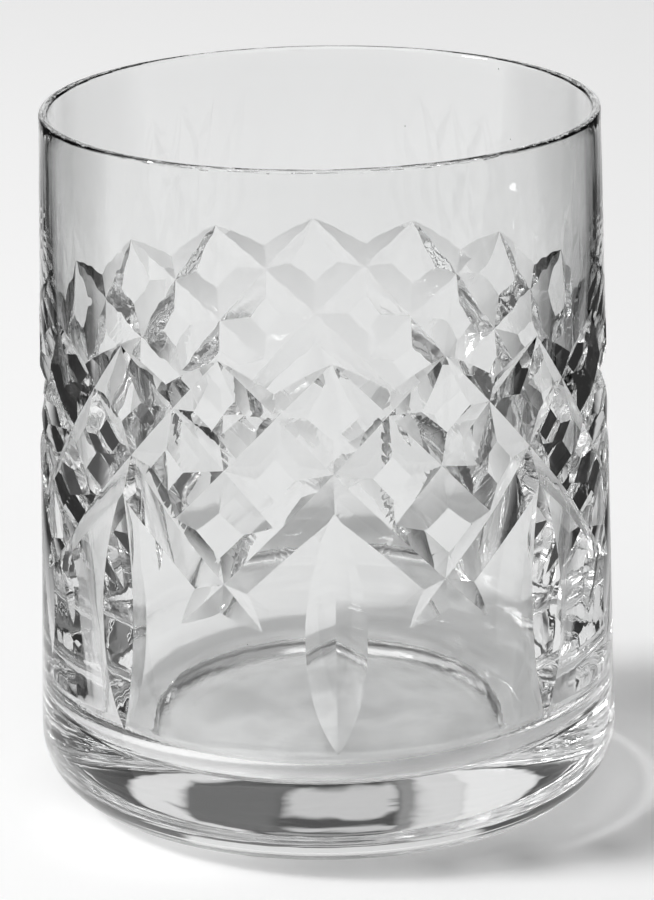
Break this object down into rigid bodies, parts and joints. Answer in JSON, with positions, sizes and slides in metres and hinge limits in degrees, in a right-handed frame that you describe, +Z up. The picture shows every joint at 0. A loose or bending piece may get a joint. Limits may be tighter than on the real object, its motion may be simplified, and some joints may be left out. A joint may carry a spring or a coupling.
{
  "type": "crystal tumbler",
  "caption": "Low drinking tumbler in clear cut crystal: thin smooth rim, heavy rounded foot, a lattice of diagonal cuts and upright flutes below it.",
  "frame": {"origin": "centre of the foot, level with the flat ring that the glass stands on", "axes": "+Z up along the axis of the glass, -Y through the middle of one upright flute, +X to the right seen from -Y"},
  "size_m": [0.0788, 0.0788, 0.095],
  "materials": {
    "clear_crystal": "fire-polished and cut, clear"
  },
  "bodies": {
    "root": {"tumbler_glass": "clear_crystal"}
  },
  "joints": []
}
